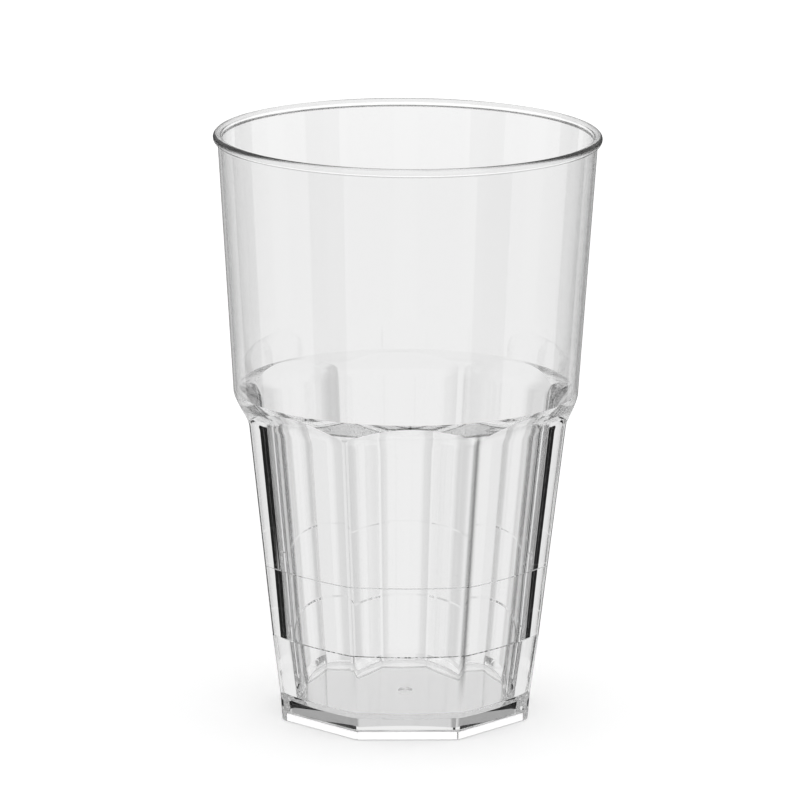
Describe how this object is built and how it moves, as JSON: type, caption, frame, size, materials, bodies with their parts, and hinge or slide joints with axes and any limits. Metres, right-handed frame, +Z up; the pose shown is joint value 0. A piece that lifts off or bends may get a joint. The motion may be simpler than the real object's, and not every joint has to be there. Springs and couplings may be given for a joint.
{
  "type": "plastic tumbler cup",
  "caption": "Clear plastic tumbler cup with a faceted, tapered lower half under arched side tops, a plain thin-walled round upper half and a beaded rim.",
  "frame": {"origin": "centre of the cup on the table plane that its foot stands on", "axes": "+Z up along the cup's axis; -Y is the front, square on to the middle of one flat side; +X to the right"},
  "size_m": [0.084, 0.084, 0.1285],
  "materials": {
    "clear_plastic": "clear, colourless, polished inside and out; index of refraction about 1.57"
  },
  "bodies": {
    "root": {"tumbler": "clear_plastic"}
  },
  "joints": []
}
